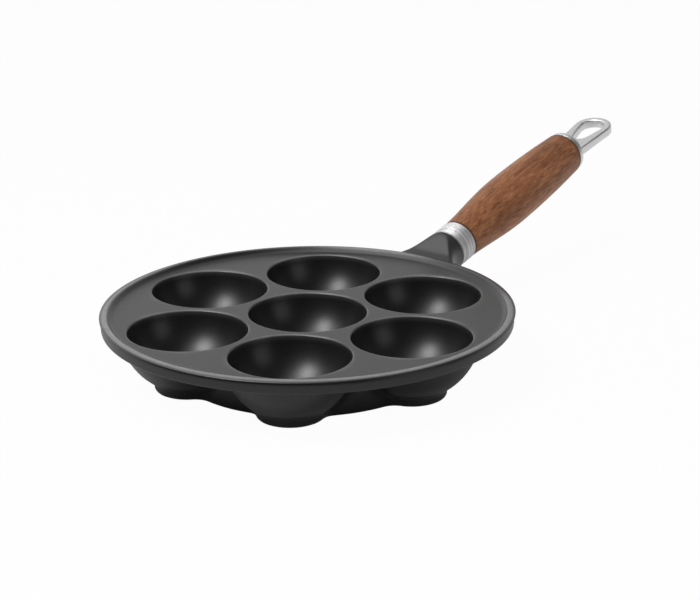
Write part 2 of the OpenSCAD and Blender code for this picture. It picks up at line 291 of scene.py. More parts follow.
# %% The floor
def white_floor(half=6.0, drop=0.0001, glow_share=0.97):
    """A floor that reads as white paper and still takes a faint shadow."""
    mesh = bpy.data.meshes.new("floor")
    corners = [(x * half, y * half, -drop) for x, y in ((-1, -1), (1, -1), (1, 1), (-1, 1))]
    mesh.from_pydata(corners, [], [(0, 1, 2, 3)])
    floor = bpy.data.objects.new("floor", mesh)
    scene.collection.objects.link(floor)
    paper = bpy.data.materials.new("paper")
    tree = emptied(paper)
    path = node(tree, "ShaderNodeLightPath").outputs
    place = node(tree, "ShaderNodeNewGeometry").outputs["Position"]
    from_centre = node(tree, "ShaderNodeVectorMath", operation="LENGTH", in_0=place)
    lit_side = spread(tree, facing(tree, place, to_far), 0.10, 0.40, 0.35, 1.9)
    # Painted shadow: in mirrored rays the floor's glow is dark close under the pan.
    open_floor = spread(tree, from_centre.outputs["Value"], 0.08, 0.16, 0.15, 1.0)
    glow_with_painted_shade = combined(tree, "MULTIPLY", lit_side, open_floor)
    mirrored = combined(tree, "MULTIPLY", path["Is Glossy Ray"], glow_with_painted_shade)
    bright = combined(tree, "MAXIMUM", path["Is Camera Ray"], mirrored)
    lit = node(tree, "ShaderNodeBsdfDiffuse", in_0=(0.86, 0.86, 0.86, 1))
    glow = node(tree, "ShaderNodeEmission", in_1=1.0)
    mix = node(tree, "ShaderNodeMixShader", in_0=combined(tree, "MULTIPLY", bright, glow_share),
               in_1=lit.outputs[0], in_2=glow.outputs[0])
    node(tree, "ShaderNodeOutputMaterial", in_0=mix.outputs[0])
    mesh.materials.append(paper)
    floor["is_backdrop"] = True


white_floor()

# %% [markdown]
# ## Finishes
# Each finish is built from nodes alone. One group makes a fine grain from a noise in the piece's
# own coordinates and spreads it from a low to a high value, so every metal can vary its tone and
# its roughness a little without an image.

# %% Grain group
def speckle_group():
    """Fine grain of a surface: a noise of a given scale, put out as a value from Low to High."""
    group = bpy.data.node_groups.new("fine_grain", "ShaderNodeTree")
    face = group.interface
    for name in ("Scale", "Low", "High"):
        face.new_socket(name, in_out="INPUT", socket_type="NodeSocketFloat")
    face.new_socket("Value", in_out="OUTPUT", socket_type="NodeSocketFloat")
    given = node(group, "NodeGroupInput").outputs
    noise = node(group, "ShaderNodeTexNoise", in_Vector=own_place(group), in_Scale=given["Scale"],
                 in_Detail=3.0, in_Roughness=0.6).outputs["Fac"]
    node(group, "NodeGroupOutput",
         in_Value=spread(group, noise, 0.0, 1.0, given["Low"], given["High"]))
    return group


fine_grain = speckle_group()


def grain(tree, scale, low, high):
    """Places the grain group in a material, running from low to high."""
    return node(tree, "ShaderNodeGroup", node_tree=fine_grain,
                in_Scale=scale, in_Low=low, in_High=high).outputs["Value"]


def surface(tree):
    """The sockets of a material's Principled shader."""
    return tree.nodes["Principled BSDF"].inputs


def finish(name, **values):
    """A material and its node tree, with the given values set on its Principled shader."""
    material = bpy.data.materials.new(name)
    material.use_nodes = True
    for key, value in values.items():
        surface(material.node_tree)[key.replace("_", " ")].default_value = value
    return material, material.node_tree


def dress(tree, colour, roughness, height=None, strength=0.0, depth=0.0003):
    """Feeds the shader with colour and roughness and, where height is given, a fine bump."""
    tree.links.new(colour, surface(tree)["Base Color"])
    tree.links.new(roughness, surface(tree)["Roughness"])
    if height is not None:
        bump = node(tree, "ShaderNodeBump", in_Strength=strength, in_Distance=depth, in_Height=height)
        tree.links.new(bump.outputs[0], surface(tree)["Normal"])


# %% [markdown]
# The iron has a thin matt coat over a sand-cast skin. It is nearly black, and a middling roughness
# makes the lamp's image in each cup a soft patch instead of a spot. On the bead's crest and a little
# on the cups' lips a light grey is painted in: partly the coat rubbed through to bare iron, partly a
# painted highlight for the bright line of light along them. That share comes from an attribute of
# the mesh, broken up by a coarser grain.

# %% Iron
def iron_finish():
    """Dark cast iron under a thin matt coat: nearly black, softly shiny, with a very fine grain."""
    material, tree = finish("matt_iron")
    coat = blend(tree, grain(tree, 60, 0.0, 1.0),
                 (0.0055, 0.0055, 0.0057, 1), (0.0085, 0.0085, 0.0087, 1))
    # Light grey on the bead's crest and the cups' lips: partly rubbed coat, partly a painted
    # highlight.
    worn_and_highlit = node(tree, "ShaderNodeAttribute", attribute_name="worn_and_highlit").outputs["Fac"]
    share = combined(tree, "MULTIPLY", worn_and_highlit, grain(tree, 140, 0.5, 1.0))
    bare_iron_and_highlight = (0.31, 0.31, 0.312, 1)
    dress(tree, blend(tree, share, coat, bare_iron_and_highlight), grain(tree, 900, 0.32, 0.39),
          height=grain(tree, 1600, 0.0, 1.0), strength=0.08)
    return material


# %% [markdown]
# The grip is oiled walnut. A noise drawn out along the handle gives the broken darker and lighter
# streaks, and a finer one gives dark pores and pale flecks. At its ends shade is painted in: a dark
# painted shadow line against the ferrule and a dark painted rim of shade against the end piece. Both
# are steps in the distance along the handle.

# %% Wood
def stretched_noise(tree, place, scale, detail, roughness, distortion=0.0):
    """A noise drawn out along the handle: scale is (along, across, across)."""
    drawn = node(tree, "ShaderNodeMapping", in_0=place, in_Scale=scale).outputs[0]
    return node(tree, "ShaderNodeTexNoise", in_Vector=drawn, in_Scale=1.0, in_Detail=detail,
                in_Roughness=roughness, in_Distortion=distortion).outputs["Fac"]


def wood_finish():
    """Oiled walnut: brown with broken darker lines and short flecks that run along the handle."""
    material, tree = finish("oiled_walnut", Specular_IOR_Level=0.22)
    place = own_place(tree)
    straight = node(tree, "ShaderNodeMapping", in_0=place,
                    in_Rotation=(0, float(handle_rise), 0)).outputs[0]
    figure = stretched_noise(tree, straight, (20, 120, 120), 6.0, 0.7, 0.8)
    fleck = stretched_noise(tree, straight, (120, 720, 720), 3.0, 0.6)
    browns = node(tree, "ShaderNodeValToRGB", in_0=figure)
    stops = browns.color_ramp.elements
    stops[0].position, stops[0].color = 0.28, (0.150, 0.055, 0.022, 1)
    stops[1].position, stops[1].color = 0.70, (0.500, 0.215, 0.098, 1)
    stops.new(0.5).color = (0.320, 0.124, 0.052, 1)
    pore, pale_fleck, painted_shade = (0.065, 0.024, 0.013, 1), (0.60, 0.31, 0.17, 1), (0.045, 0.018, 0.010, 1)
    brown = blend(tree, spread(tree, fleck, 0.55, 0.70, 0.0, 0.7), browns.outputs[0], pore)
    brown = blend(tree, spread(tree, fleck, 0.46, 0.30, 0.0, 0.5), brown, pale_fleck)
    distance = facing(tree, place, along)
    first, last = ((float(mouth @ along) + u) * MM for u in (grip_u, grip_end_u))
    # Painted shade: a dark line where the wood meets the ferrule and a dark rim where it meets the end
    # piece.
    shade_at_ferrule = spread(tree, distance, first + 0.0008, first + 0.0018, 0.9, 0.0, SMOOTH)
    shade_at_end_piece = spread(tree, distance, last - 0.0045, last - 0.0008, 0.0, 0.7, SMOOTH)
    dress(tree, blend(tree, combined(tree, "ADD", shade_at_ferrule, shade_at_end_piece), brown, painted_shade),
          grain(tree, 300, 0.40, 0.54), height=fleck, strength=0.25)
    return material


# %% [markdown]
# Three bare metals: the ferrule is turned, so its tone and bump change only along the handle and
# draw rings round it; the end piece is cast and lightly polished; the rod is drawn steel.

# %% Metals
def metal_finish(name, tones, roughs, scale):
    """Bare metal, with its tone and roughness each varied between two values by a fine grain."""
    material, tree = finish(name, Metallic=1.0)
    dark, light = ((*tone, 1) for tone in tones)
    dress(tree, blend(tree, grain(tree, scale, 0.0, 1.0), dark, light),
          grain(tree, scale * 1.7, *roughs))
    return material


def turned_finish():
    """Turned aluminium: fine rings round the piece, light and dark along the handle's axis."""
    material, tree = finish("turned_aluminium", Metallic=1.0)
    rings = node(tree, "ShaderNodeTexNoise", noise_dimensions="1D", in_Detail=2.0, in_Roughness=0.7,
                 in_W=facing(tree, own_place(tree), along), in_Scale=1300.0).outputs["Fac"]
    tone = spread(tree, rings, 0.34, 0.66, 0.34, 0.86)
    grey = node(tree, "ShaderNodeCombineColor", in_0=tone, in_1=tone, in_2=tone).outputs[0]
    dress(tree, grey, grain(tree, 500, 0.50, 0.60), height=rings, strength=0.5, depth=0.0002)
    return material


matt_iron = iron_finish()
oiled_walnut = wood_finish()
turned_aluminium = turned_finish()
cast_aluminium = metal_finish("cast_aluminium", ((0.58, 0.58, 0.58), (0.68, 0.68, 0.68)),
                              (0.36, 0.46), 350)
drawn_steel = metal_finish("drawn_steel", ((0.42, 0.42, 0.43), (0.52, 0.52, 0.53)),
                           (0.26, 0.38), 700)

# %% [markdown]
# ## From arrays to a closed mesh
# Every new piece is one or more sheets: arrays of points in rows and columns. Sheets that share an
# edge repeat its points, so a piece is closed by giving equal points one number. That is simpler
# than stitching edges by hand, and a count of open edges shows that nothing was missed.

# %% Weave sheets into a mesh
def triangles_of(rows, columns, first):
    """Two triangles for each cell of a grid whose points are numbered row by row from first."""
    at = first + np.arange(rows * columns).reshape(rows, columns)
    a, b, c, d = at[:-1, :-1], at[1:, :-1], at[1:, 1:], at[:-1, 1:]
    return np.concatenate([np.stack(corners, -1).reshape(-1, 3) for corners in ((a, b, c), (a, c, d))])


def open_edges(faces):
    """How many edges don't have exactly two faces."""
    edges = np.sort(np.concatenate([faces[:, [0, 1]], faces[:, [1, 2]], faces[:, [2, 0]]]), axis=1)
    return int((np.unique(edges, axis=0, return_counts=True)[1] != 2).sum())


def woven(name, sheets, crease=35.0, snap=0.002, offset=0.3137):
    """One object from sheets in millimetres; points nearer than snap become one point.

    The offset keeps round numbers, which many points lie on, off the borders of the snapping."""
    points = np.concatenate([sheet.reshape(-1, 3) for sheet in sheets])
    starts = np.cumsum([0] + [sheet.shape[0] * sheet.shape[1] for sheet in sheets])
    faces = np.concatenate([
        triangles_of(*sheet.shape[:2], first) for sheet, first in zip(sheets, starts)])
    keys = np.floor(points / snap + offset).astype(np.int64)
    kept, number = np.unique(keys, axis=0, return_index=True, return_inverse=True)[1:]
    faces = number.reshape(-1)[faces]
    faces = faces[(faces != np.roll(faces, 1, axis=1)).all(axis=1)]
    mesh = bpy.data.meshes.new(name)
    mesh.from_pydata((points[kept] * MM).tolist(), [], faces.tolist())
    mesh.validate()
    shape = bmesh.new()
    shape.from_mesh(mesh)
    bmesh.ops.recalc_face_normals(shape, faces=shape.faces)
    shape.to_mesh(mesh)
    shape.free()
    mesh.polygons.foreach_set("use_smooth", np.ones(len(mesh.polygons), dtype=bool))
    mesh.set_sharp_from_angle(angle=np.radians(crease))
    piece = bpy.data.objects.new(name, mesh)
    scene.collection.objects.link(piece)
    print(name, "triangles", len(faces), "open edges", open_edges(faces))
    return piece


# %% [markdown]
# Profiles are drawn as short curves set end to end. Soft joints use a smooth minimum: it follows
# the lesser of two values and rounds the crossing over a chosen width. Where a surface is given
# only by a test of inside and outside, its place is found by halving a range over and over.

# %% Arcs, joined curves and halving
def between(a, b, t):
    """The point a share t of the way from a to b."""
    return a + (b - a) * t


def arc(centre, radius, start, end, steps):
    """Points on a circle from one angle to another, in degrees."""
    a = np.radians(np.linspace(start, end, steps + 1))
    return np.column_stack([centre[0] + radius * np.cos(a), centre[1] + radius * np.sin(a)])


def joined(*parts, least_step=0.004):
    """One curve from several, without the points that repeat where they meet."""
    curve = np.concatenate([np.atleast_2d(part) for part in parts])
    step = np.linalg.norm(np.diff(curve, axis=0), axis=1)
    return curve[np.concatenate([[True], step > least_step])]


def eased_corner(start, corner, end, steps=4):
    """A curve from start to end that the corner pulls towards itself: a quadratic curve."""
    t = np.linspace(0, 1, steps + 1)[:, None]
    start, corner, end = np.array(start), np.array(corner), np.array(end)
    return (1 - t) ** 2 * start + 2 * t * (1 - t) * corner + t**2 * end


def polar(bearing, radius, height):
    """Points (r cos b, r sin b, z)."""
    bearing, radius, height = np.broadcast_arrays(bearing, radius, height)
    return np.stack([radius * np.cos(bearing), radius * np.sin(bearing), height], -1)


def halved(low, high, test, rounds=40):
    """Where a test that is true at low turns false on the way to high."""
    for _ in range(rounds):
        middle = (low + high) / 2
        true = test(middle)
        low, high = np.where(true, middle, low), np.where(true, high, middle)
    return (low + high) / 2


def half_chord(radius, distance):
    """Half width of a circle at a distance from its centre: sqrt(r^2 - d^2), and 0 outside it."""
    return np.sqrt(np.clip(radius**2 - distance**2, 0, None))


def soft_least(values, width):
    """A smooth minimum along the first axis: -w log(sum of exp(-v / w))."""
    low = values.min(axis=0)
    return low - width * np.log(np.exp((low - values) / width).sum(axis=0))


# %% [markdown]
# ## The casting: cups and face
# On the real pan everything of iron is one pouring. The top is made of seven cells, one round each
# cup, whose borders lie halfway to the next cup. Each cell is a polar grid: the spherical bowl, the
# small round of its lip, then the flat face out to the border. A height map over the whole plate
# would need far more points to keep the steep walls and crisp lips.

# %% Cells round the cups
mid_steps, side_steps, rim_steps = 22, 30, 60
half_pitch = cup_pitch_r / 2
outer_cups = 6
cup_bearings = np.radians(30 + 60 * np.arange(outer_cups))


def middle_border():
    """Bearings and border distances of the middle cell, a hexagon: half pitch / cos(b)."""
    b = np.radians(np.linspace(-30, 30, mid_steps + 1))
    last = [b[0] + cup_bearings[0] + 2 * np.pi]
    bearing = np.concatenate([b[:-1] + side for side in cup_bearings] + [last])
    reach = np.concatenate([half_pitch / np.cos(b[:-1])] * outer_cups + [[half_pitch / np.cos(b[0])]])
    return bearing, reach


def outer_border(limit_r):
    """Bearings and border distances of an outer cell that points along +X.

    Three straight borders face the middle and the two neighbours. The fourth is the circle of
    radius limit_r about the pan's centre, met at even steps round the pan."""
    turn = np.radians(np.linspace(-30, 30, rim_steps + 1))
    rim_x, rim_y = limit_r * np.cos(turn) - cup_pitch_r, limit_r * np.sin(turn)
    rim_b, rim_d = np.arctan2(rim_y, rim_x), np.hypot(rim_x, rim_y)
    side_b = np.linspace(rim_b[-1], np.radians(150), side_steps + 1)
    side_d = half_pitch / np.cos(side_b - np.radians(120))
    in_b = np.radians(np.linspace(150, 210, mid_steps + 1))
    in_d = half_pitch / np.cos(in_b - np.pi)
    bearing = np.concatenate([rim_b, side_b[1:], in_b[1:], 2 * np.pi - side_b[::-1][1:]])
    reach = np.concatenate([rim_d, side_d[1:], in_d[1:], side_d[::-1][1:]])
    return bearing, reach


def at_cup(points, turn):
    """Moves an outer cell out to its cup and turns it round the pan."""
    x, y = points[..., 0] + cup_pitch_r, points[..., 1]
    return np.stack([x * np.cos(turn) - y * np.sin(turn), x * np.sin(turn) + y * np.cos(turn),
                     points[..., 2]], -1)


# %% [markdown]
# A cup is a piece of a sphere. Its lip is a small round that touches both the sphere and the face:
# the centre of that round lies one lip radius outside the sphere and one below the face, which
# fixes where it starts and ends without any fitting.

# %% Top of the casting
lip_z = face_z - lip_round
lip_x = np.sqrt((bowl_r + lip_round) ** 2 - (bowl_z - lip_z) ** 2)
lip_angle = np.degrees(np.arctan2(bowl_z - lip_z, lip_x))


def bowl_profile():
    """Half of a cup's section: the sphere from its lowest point, then the lip's quarter round."""
    sphere = arc((0, bowl_z), bowl_r, -90, -lip_angle, 20)
    lip = arc((lip_x, lip_z), lip_round, 180 - lip_angle, 90, 5)
    return joined(sphere, lip)


def top_cell(bearing, reach):
    """Bowl and lip as circles, then the flat, eased out to the cell's border."""
    bowl = bowl_profile()
    ease = np.linspace(0, 1, 5)[1:, None] ** 1.3
    flat = between(bowl[-1, 0], reach, ease)
    radius = np.concatenate([np.repeat(bowl[:, :1], len(bearing), axis=1), flat])
    height = np.concatenate([bowl[:, 1], np.full(len(ease), face_z)])[:, None]
    return polar(bearing, radius, height)


# %% [markdown]
# ## The casting: rim
# The bead along the edge catches the light all round the pan, so its section matters most. From
# the face a hollow ramp rises to a narrow crest, then a flat oval shoulder falls to the widest
# point. Below it a small groove is cut in, which reads as the thin dark line under the bead, and
# the band runs straight down to a rounded lower edge. On the real pan the pattern maker turned
# this section, so it is carried once round the pan.

# %% Rim section
crest_x, crest_z = plate_r - shoulder_r, face_z + bead_rise
low_r = plate_r - edge_draft
ramp_angle = np.radians(ramp_turn)
ramp_z = crest_z - crest_r * (1 - np.cos(ramp_angle))
ramp_start = crest_x - crest_r * np.sin(ramp_angle) - ramp_reach
ramp_bend = np.tan(ramp_angle) * ramp_reach / (ramp_z - face_z)
band_crowd, band_fall = 2.2, 6
print("the ramp rises as a power:", round(ramp_bend, 2))


def rim_profile():
    """The rim from the face, over the bead, down the band and round the lower edge."""
    share = np.linspace(0, 1, 10)
    ramp = np.column_stack([ramp_start + ramp_reach * share,
                            face_z + (ramp_z - face_z) * share**ramp_bend])
    crest = arc((crest_x, crest_z - crest_r), crest_r, 90 + ramp_turn, 90, 5)
    shoulder = arc((0, 0), 1.0, 90, 0, 12) * [plate_r - crest_x, shoulder_drop]
    shoulder = shoulder + [crest_x, crest_z - shoulder_drop]
    groove = arc((0, 0), 1.0, 90, 180, 6) * [groove_deep, groove_w / 2]
    groove = groove + [plate_r, shoulder[-1, 1] - groove_w / 2]
    dip_x, dip_z = groove[-1]
    ease = np.linspace(0, 1, 13) ** band_crowd
    band = np.column_stack([between(low_r, dip_x, (1 - ease) ** band_fall),
                            between(dip_z, under_z + edge_round, ease)])
    edge = arc((low_r - edge_round, under_z + edge_round), edge_round, 0, -90, 5)
    return joined(ramp, crest, shoulder, groove, band, edge)


def round_pan(profile):
    """Carries a (radius, height) profile round the pan in steps that match the cells."""
    turn = np.radians(np.arange(0, outer_cups * rim_steps + 1) * 60 / rim_steps)
    return polar(turn, profile[:, :1], profile[:, 1:])


# %% [markdown]
# ## The casting: underside
# Below the plate the cups show as round bulges on flat feet. Here the heights come from distances:
# for a point of the plan, the surface is where a smooth minimum of the distances to the seven
# spheres and to the plate is zero. That melts neighbouring bulges and the plate into one another
# as poured iron does, where plain circles would leave sharp valleys.

# %% Underside of the casting
foot_r, foot_flare, melt, steep_share = foot_d / 2, 2.6, 1.3, 0.93
outer_centres = cup_pitch_r * np.column_stack([np.cos(cup_bearings), np.sin(cup_bearings)])
centres = np.concatenate([[[0.0, 0.0]], outer_centres])


def foot_profile():
    """The flat foot, its rounded edge, and a hollow curve that runs into the sphere."""
    join_r = foot_r + foot_flare
    join_z = bowl_z - np.sqrt(shell_r**2 - join_r**2)
    slope = join_r / np.sqrt(shell_r**2 - join_r**2)
    hollow = eased_corner((foot_r, foot_round), (foot_r, join_z - slope * foot_flare),
                          (join_r, join_z), 5)
    flat = np.column_stack([np.linspace(0, foot_r - foot_round, 4), np.zeros(4)])
    return joined(flat, arc((foot_r - foot_round, foot_round), foot_round, -90, 0, 5), hollow)


def skin_height(x, y):
    """Height of the underside at (x, y), found by halving: spheres and plate, melted together."""
    plan = (x - centres[:, 0, None, None]) ** 2 + (y - centres[:, 1, None, None]) ** 2

    def outside(z):
        spheres = np.sqrt(plan + (bowl_z - z) ** 2) - shell_r
        return soft_least(np.concatenate([spheres, (under_z - z)[None]]), melt) > 0

    return halved(np.zeros_like(x), np.full_like(x, under_z), outside)


def under_cell(bearing, reach, turn=None):
    """Foot first, then rings that crowd where the bulge is steep, out to the cell's border."""
    foot = foot_profile()
    steep = steep_share * np.minimum(reach, shell_r + 2)
    near = between(foot[-1, 0], steep, np.sin(np.radians(np.linspace(0, 90, 13)))[1:, None])
    far = between(steep, reach, np.linspace(0, 1, 10)[1:, None] ** 1.4)
    radius = np.concatenate([np.repeat(foot[:, :1], len(bearing), axis=1), near, far])
    points = polar(bearing, radius, 0.0)
    points = points if turn is None else at_cup(points, turn)
    points[..., 2] = skin_height(points[..., 0], points[..., 1])
    points[: len(foot), :, 2] = foot[:, 1:]
    on_edge = np.abs(np.hypot(points[..., 0], points[..., 1]) - (low_r - edge_round)) < 0.001
    points[..., 2] = np.where(on_edge, under_z, points[..., 2])
    return points


# %% [markdown]
# ## The casting: heat ring
# A ring under the outer cups stands on the stove and holds the heat in. It is six closed
# stretches that end inside the cups' walls. Where ring and bulge meet, the stretch follows a
# rounded minimum of both distances, so that the joint is a hollow as in poured iron, not a line.
# Its radius is found by halving at each height and bearing, since the rounded minimum has no
# plain inverse. The walls lie a hair deeper than that minimum says, so that where a stretch ends
# it is inside the iron and no two skins fall together.

# %% Ring under the cups
sunk = 0.08
search_out, search_in, search_back = 36.0, 25.0, 5.0


def rounded_least(a, b, reach):
    """The lesser of two distances, with a hollow of about 0.85 reach where they are equal."""
    mix = np.clip(reach - np.abs(a - b), 0, None) / reach
    return np.minimum(a, b) - mix**2 * reach / 4


def cup_radius(z):
    """Radius of a bulge with its foot at height z, before anything is melted together."""
    foot = foot_profile()
    sphere = half_chord(shell_r, bowl_z - z)
    return np.where(z < foot[-1, 1], np.interp(z, foot[:, 1], foot[:, 0]), sphere)


def ring_wall(z, turn, outward):
    """Radius of the ring's outer or inner wall at heights z and bearings turn, found by halving."""
    sign, near = (1, ring_r) if outward else (-1, ring_r - ring_t)
    limit = near + (search_out if outward else -search_in)

    def in_iron(r):
        x, y = r * np.cos(turn), r * np.sin(turn)
        cups = np.sqrt((x - centres[:, 0, None, None]) ** 2 + (y - centres[:, 1, None, None]) ** 2)
        cups = cups.min(axis=0) - cup_radius(z)
        solid = rounded_least(sign * (r - near), cups, joint_reach)
        return rounded_least(solid, under_z - z, joint_reach / 2) <= -sunk

    start = np.full(turn.shape, near - search_back * sign)
    return halved(start, np.full(turn.shape, limit), in_iron)


def ring_between_cups(middle):
    """One stretch of ring between two cups, ending in the iron halfway through their walls."""
    flare, top_z = 6.0, under_z - 0.25
    bevel = arc((ring_bevel, ring_bevel), ring_bevel, 270, 180, 3)
    heights = np.concatenate([
        bevel[:, 1],
        np.linspace(ring_bevel, top_z - flare, 12)[1:],
        top_z - flare * np.linspace(1, 0, 9)[1:] ** 1.6])[:, None]
    inset = np.zeros_like(heights)
    inset[: len(bevel)] = bevel[:, :1]
    half = np.radians(30) - np.arcsin((cup_radius(heights) - cup_wall / 2) / cup_pitch_r)
    turn = middle + half * np.linspace(-1, 1, 33)
    outer = ring_wall(heights, turn, True) - inset
    inner = ring_wall(heights, turn, False) + inset
    heights = np.concatenate([heights, [[under_z + 1.0]]])
    turn, outer, inner = (np.concatenate([rows, rows[-1:]]) for rows in (turn, outer, inner))
    share = np.linspace(0, 1, 4)
    sheets = [polar(turn, outer, heights), polar(turn, inner, heights)]
    for row in (0, -1):
        sheets.append(polar(turn[row], between(outer[row], inner[row], share[:, None]), heights[row]))
    for end in (0, -1):
        wall = between(outer[:, [end]], inner[:, [end]], share)
        sheets.append(polar(turn[:, [end]], wall, heights))
    return sheets


# %% [markdown]
# ## The casting: neck
# The neck grows out of the plate's edge as a flat oval and ends as the round that the ferrule seats
# on. It is lofted: each section is an oval whose half width and half thickness follow powers of
# the distance, and it leans over as it goes. A sloping surface then takes off the top, which
# leaves the facet that narrows towards the ferrule. It starts gently behind the bead and turns
# steeper after a few millimetres.

# %% Neck of the casting
root_share, crown_soft = 0.76, 0.5
width_power, thickness_power, root_squareness = 2.5, 1.6, 2.4


def signed_power(value, power):
    """The size of a value raised to a power, with the value's sign: |v|^p sign(v)."""
    return np.sign(value) * np.abs(value) ** power


def neck_sheet(rings=48, sides=96):
    """Lofted neck, its mouth, and the drilled hole for the rod, as one closed sheet."""
    k = np.linspace(0, 1, rings)[:, None]
    a = np.radians(np.linspace(0, 360, sides + 1))
    root_x = plate_r - neck_bite
    root_w = np.sqrt((low_r - neck_cover) ** 2 - root_x**2)
    root_t = plate_t / 2 - neck_cover
    power = 2 / between(root_squareness, 2, k)
    half_w = between(socket_r, root_share * root_w, (1 - k) ** width_power)
    half_t = between(socket_r, root_t, (1 - k) ** thickness_power)
    y, n = half_w * signed_power(np.cos(a), power), half_t * signed_power(np.sin(a), power)
    lean = handle_rise * k
    x = between(root_x, mouth_x, k) - n * np.sin(lean)
    z = between(face_z - plate_t / 2, mouth_z, k) + n * np.cos(lean)
    out = x - plate_r
    steeper = np.log(1 + np.exp(out - crown_turn)) * (np.tan(crown_slope) - np.tan(crown_low))
    crown = face_z + crown_lift + out * np.tan(crown_low) + steeper
    z = soft_least(np.stack([z, crown]), crown_soft)
    skin = np.stack([x, y, z], -1)
    edge, hole = 0.5, rod_d / 2 + thread_gap
    rows = [*arc((socket_r - edge, -edge), edge, 0, 90, 4),
            (hole, 0.0), (hole, -neck_hole_len), (0.0, -neck_hole_len)]
    mouth_rows = [on_handle(u, r * np.cos(a), r * np.sin(a)) for r, u in rows]
    root = np.broadcast_to([root_x, 0.0, face_z - plate_t / 2], (1, len(a), 3))
    return np.concatenate([root, skin[:-1], np.stack(mouth_rows)])


# %% [markdown]
# All sheets of the casting are woven into one mesh. The face, the rim, the underside and the plate
# edge share their border points and close into one skin. The ring's stretches and the neck are
# closed skins that end inside the iron.

# %% Pour the casting
top = [top_cell(*middle_border())]
under = [under_cell(*middle_border())]
face_border, edge_border = outer_border(ramp_start), outer_border(low_r - edge_round)
for turn in cup_bearings:
    top.append(at_cup(top_cell(*face_border), turn))
    under.append(under_cell(*edge_border, turn))
ring = [sheet for side in range(outer_cups) for sheet in ring_between_cups(np.radians(60 * side))]
casting = woven("casting", top + [round_pan(rim_profile())] + under + ring + [neck_sheet()])

# %% [markdown]
# The iron's finish needs to know where the light grey is painted, partly as a rubbed coat and partly
# as a painted highlight. Each point of the mesh gets a share from smooth steps: across the bead's
# crest by distance from the pan's axis, and across each lip by distance from the nearest cup's axis,
# mostly on the far side, where the painted highlight runs along the lips. On the side towards the
# camera the painted highlight reaches further down the bead's outside, and on two stretches of the
# far side, by the neck and opposite the front, it is mostly left out.

# %% Rubbed edges and painted highlight
dimmed_share, lip_near, lip_far = 0.85, 0.1, 0.6


def eased(value, start, end):
    """0 before start, 1 after end, with a smooth step between."""
    t = np.clip((value - start) / (end - start), 0, 1)
    return t * t * (3 - 2 * t)


def within(value, start, full, fading, end):
    """0 outside start and end, 1 from full to fading, with smooth steps between."""
    return eased(value, start, full) * (1 - eased(value, fading, end))


def worn_and_highlit_bead(x, y, z):
    """How far the bead is painted light grey at each point, as rubbed coat and painted highlight: full
    on its crest, less on the dimmed stretches.
    """
    out, bearing = np.hypot(x, y) - crest_x, np.degrees(np.arctan2(y, x))
    # Painted highlight: on the side towards the camera it reaches further down the bead's outside.
    near = eased(x * back[0] + y * back[1], -60, 30)
    crest = within(out, -1.5, -0.3, 1.6 * near, 1.6 + 1.8 * near) * eased(z - face_z, 1.2, 1.9)
    # On these two stretches the painted highlight and the rubbing are mostly left out.
    dimmed = within(bearing, -52, -36, -8, 6) + within(bearing, 26, 38, 74, 98)
    return crest * (1 - dimmed_share * dimmed)


def worn_and_highlit_lips(x, y, z):
    """How far a cup's lip is painted light grey at each point, as rubbed coat and painted highlight:
    slightly, and more on its far side.
    """
    aside_x, aside_y = x[:, None] - centres[:, 0], y[:, None] - centres[:, 1]
    from_each = np.hypot(aside_x, aside_y)
    out, nearest = from_each.min(axis=1) - lip_x, from_each.argmin(axis=1)[:, None]
    beyond = -(aside_x * back[0] + aside_y * back[1]) / lip_x
    beyond = np.take_along_axis(beyond, nearest, axis=1)[:, 0]
    lip = within(out, -1.3, -0.6, -0.2, 0.5) * eased(z - face_z, -1.5, -0.8)
    return lip * between(lip_near, lip_far, eased(beyond, 0.35, 0.85))


places = np.empty(3 * len(casting.data.vertices), dtype=np.float32)
casting.data.vertices.foreach_get("co", places)
places = places.reshape(-1, 3).astype(float).T / MM
worn_and_highlit = np.maximum(worn_and_highlit_bead(*places), worn_and_highlit_lips(*places)).astype(np.float32)
casting.data.attributes.new("worn_and_highlit", "FLOAT", "POINT").data.foreach_set("value", worn_and_highlit)
print("rubbed points", int((worn_and_highlit > 0.05).sum()))

# %% [markdown]
# ## Handle: turned pieces
# Ferrule and grip come off a lathe on the real pan, and so do the collar and the boss of the end
# piece. One helper turns a profile, given as distance along the handle and radius, about the
# handle's axis. A profile that starts and ends on the axis, or meets itself, gives a closed solid.

# %% Lathe
def turned(profile, sides=144):
    """Carries (along, radius) points round the handle's axis, which starts at the neck's mouth."""
    a = np.radians(np.linspace(0, 360, sides + 1))
    u, r = profile[:, :1], profile[:, 1:]
    return on_handle(u, r * np.cos(a), r * np.sin(a))


# %% [markdown]
# ## Handle: ferrule
# A bright sleeve that hides the joint of iron and wood, with a few deeper grooves near the iron and
# fine turning marks over the rest. The grooves are cut into the profile, so that they catch light
# as steps do. The finest marks are left to the material.

